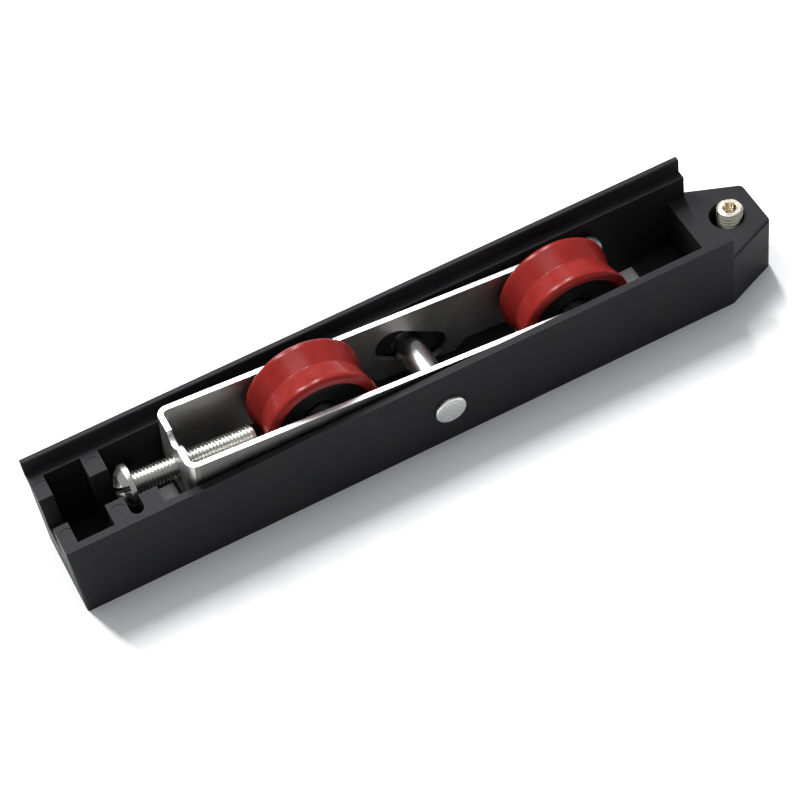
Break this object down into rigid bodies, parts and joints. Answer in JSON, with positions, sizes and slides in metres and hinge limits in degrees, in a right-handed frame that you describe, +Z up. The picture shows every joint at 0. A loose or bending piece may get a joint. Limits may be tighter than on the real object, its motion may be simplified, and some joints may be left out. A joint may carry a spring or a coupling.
{
  "type": "sliding door roller",
  "caption": "Tandem sliding-door roller: two grooved red wheels on a steel carriage in a long black plastic housing, height set by a screw on an inclined slot.",
  "frame": {"origin": "Middle of the base of the part's box, on the flat base of the housing.", "axes": "X along the housing from the square screw end to the nose, Y across from the plain wall to the lipped wall, Z up from the base to the open, wheel side."},
  "size_m": [0.1726, 0.026, 0.0321],
  "materials": {
    "black_nylon": "satin moulded black nylon",
    "zinc_strip": "zinc-plated steel strip with bright cut edges",
    "zinc_screw": "zinc-plated rolled screw",
    "rivet_steel": "smooth plain steel",
    "nickel_screw": "nickel-plated",
    "red_nylon": "glossy moulded red nylon",
    "black_cover": "matt black nylon",
    "bearing_steel": "ground bearing steel",
    "ball_steel": "polished steel"
  },
  "bodies": {
    "housing": {"housing": "black_nylon", "captive_nut": "zinc_screw"},
    "set_screw": {"set_screw": "nickel_screw"},
    "centre_pin": {"centre_pin": "rivet_steel"},
    "carriage": {"carriage_bracket": "zinc_strip", "left_axle": "rivet_steel", "left_spacer_near": "rivet_steel", "left_spacer_far": "rivet_steel", "left_bearing_inner_ring": "bearing_steel", "right_axle": "rivet_steel", "right_spacer_near": "rivet_steel", "right_spacer_far": "rivet_steel", "right_bearing_inner_ring": "bearing_steel"},
    "adjusting_screw": {"adjusting_screw": "zinc_screw"},
    "left_wheel": {"left_tyre": "red_nylon", "left_dust_cover_near": "black_cover", "left_dust_cover_far": "black_cover", "left_bearing_outer_ring": "bearing_steel"},
    "left_ball_set": {"left_bearing_balls": "ball_steel", "left_bearing_cage": "bearing_steel"},
    "right_wheel": {"right_tyre": "red_nylon", "right_dust_cover_near": "black_cover", "right_dust_cover_far": "black_cover", "right_bearing_outer_ring": "bearing_steel"},
    "right_ball_set": {"right_bearing_balls": "ball_steel", "right_bearing_cage": "bearing_steel"}
  },
  "joints": [
    {"name": "carriage_rock", "type": "hinge", "parent": "housing", "child": "centre_pin", "pos_m": [0.0021, -0.00052, 0.0109], "axis": [0, 1, 0], "range_deg": [-8, 0]},
    {"name": "height_adjust", "type": "slide", "parent": "centre_pin", "child": "carriage", "axis": [-0.8192, 0, 0.5736], "range_m": [-0.0026, 0.0006]},
    {"name": "screw_feed", "type": "slide", "parent": "carriage", "child": "adjusting_screw", "axis": [0.9962, 0, -0.0872], "range_m": [-0.0024, 0.0007]},
    {"name": "set_screw_turn", "type": "hinge", "parent": "housing", "child": "set_screw", "pos_m": [0.0794, -0.00052, 0.01], "axis": [0, 0, 1], "range_deg": [-1800, 1800]},
    {"name": "left_wheel_spin", "type": "hinge", "parent": "carriage", "child": "left_wheel", "pos_m": [-0.02451, -0.00082, 0.0188], "axis": [0, 1, 0], "continuous": true},
    {"name": "left_balls_roll", "type": "hinge", "parent": "carriage", "child": "left_ball_set", "pos_m": [-0.02451, -0.00082, 0.0188], "axis": [0, 1, 0], "continuous": true},
    {"name": "right_wheel_spin", "type": "hinge", "parent": "carriage", "child": "right_wheel", "pos_m": [0.03685, -0.00082, 0.01343], "axis": [0, 1, 0], "continuous": true},
    {"name": "right_balls_roll", "type": "hinge", "parent": "carriage", "child": "right_ball_set", "pos_m": [0.03685, -0.00082, 0.01343], "axis": [0, 1, 0], "continuous": true}
  ],
  "couplings": [
    {"joint": "screw_feed", "follows": "height_adjust", "ratio": 0.86603},
    {"joint": "left_balls_roll", "follows": "left_wheel_spin", "ratio": 0.64},
    {"joint": "right_balls_roll", "follows": "right_wheel_spin", "ratio": 0.64}
  ]
}
